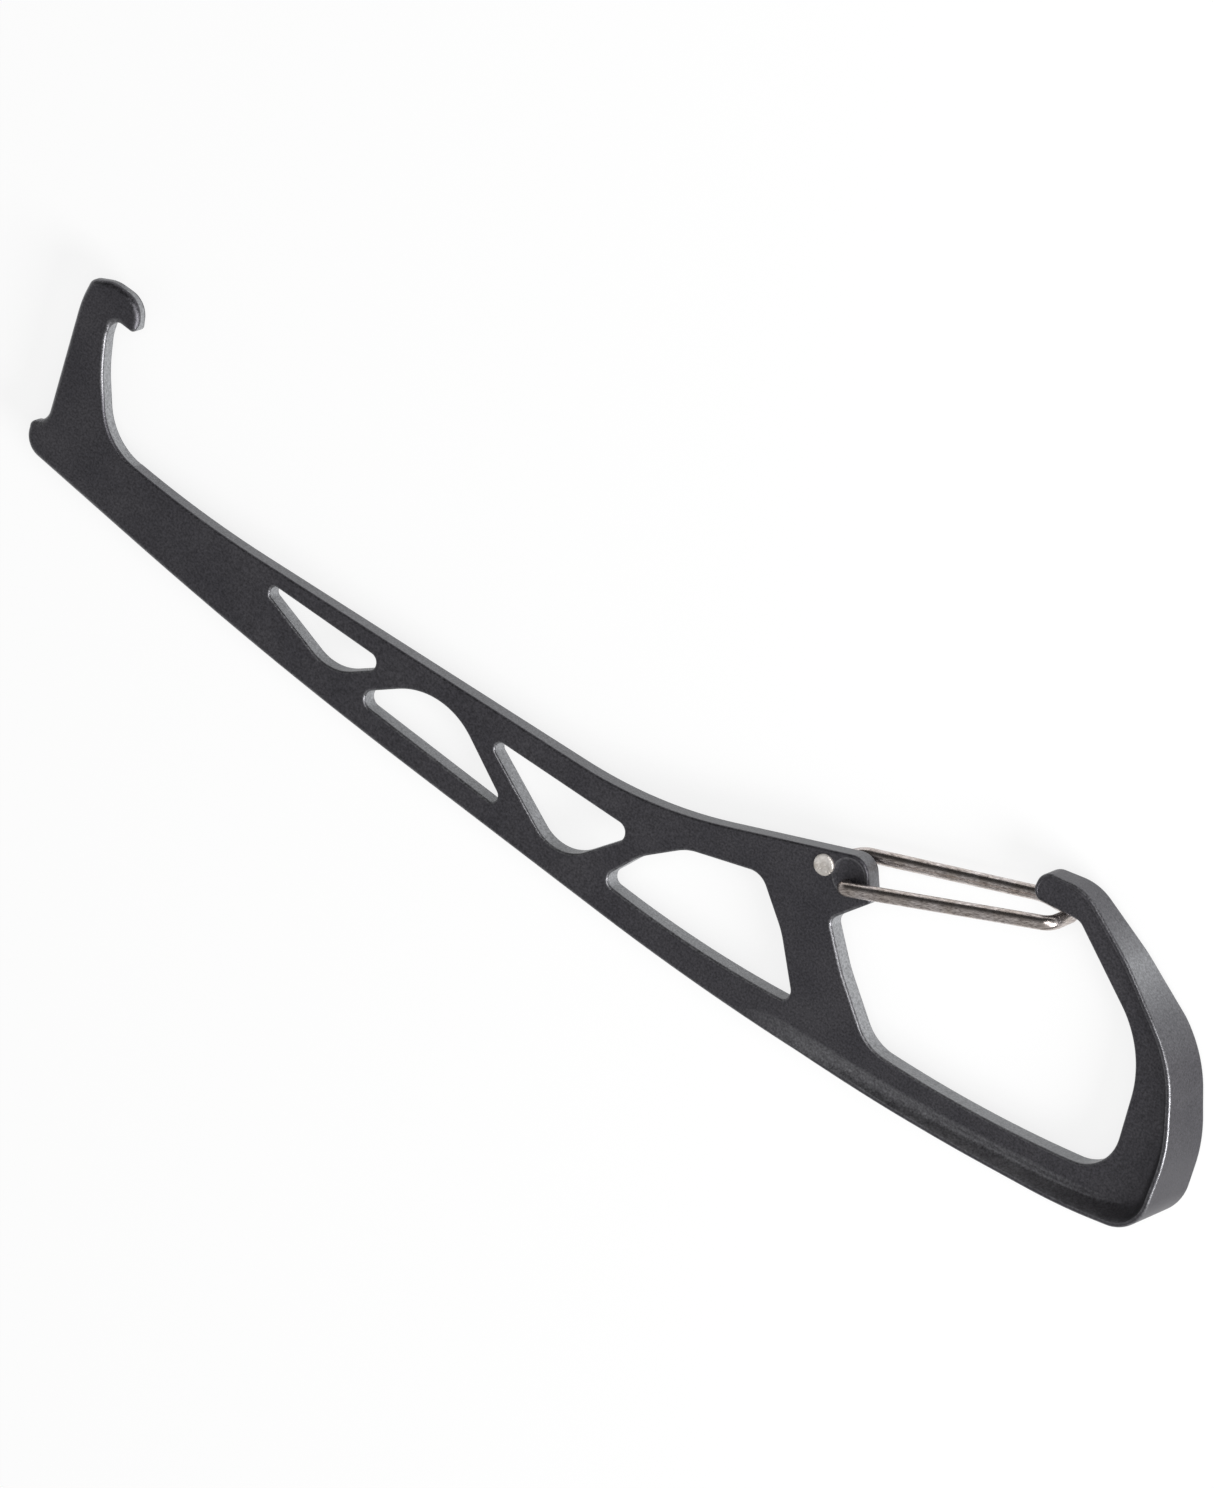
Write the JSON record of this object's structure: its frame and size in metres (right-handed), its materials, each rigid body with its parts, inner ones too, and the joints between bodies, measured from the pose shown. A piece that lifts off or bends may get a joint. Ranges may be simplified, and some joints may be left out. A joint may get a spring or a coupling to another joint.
{
  "type": "nut tool",
  "caption": "Flat forged nut tool: hook head with a heel notch, lattice stem, and a clip with a sprung wire gate and a wide striking flange.",
  "frame": {"origin": "middle of the tool's box in plan, at the height of the flange's lower edge", "axes": "+X along the tool from the hook to the clip, +Y towards the gate's side, +Z square to the web"},
  "size_m": [0.2384, 0.0556, 0.0126],
  "materials": {
    "anodised_aluminium": "satin dark grey hard anodising, brighter where the edges are worn",
    "stainless_wire": "drawn stainless spring wire with a warm grey sheen"
  },
  "bodies": {
    "body": {"forged_body": "anodised_aluminium"},
    "gate": {"wire_gate": "stainless_wire"}
  },
  "joints": [
    {"name": "gate_hinge", "type": "hinge", "parent": "body", "child": "gate", "pos_m": [0.04475, 0.00361, 0.0063], "axis": [0, 0, -1], "range_deg": [0, 30], "stiffness_Nm_per_rad": 0.1, "springref_deg": -40.11}
  ]
}
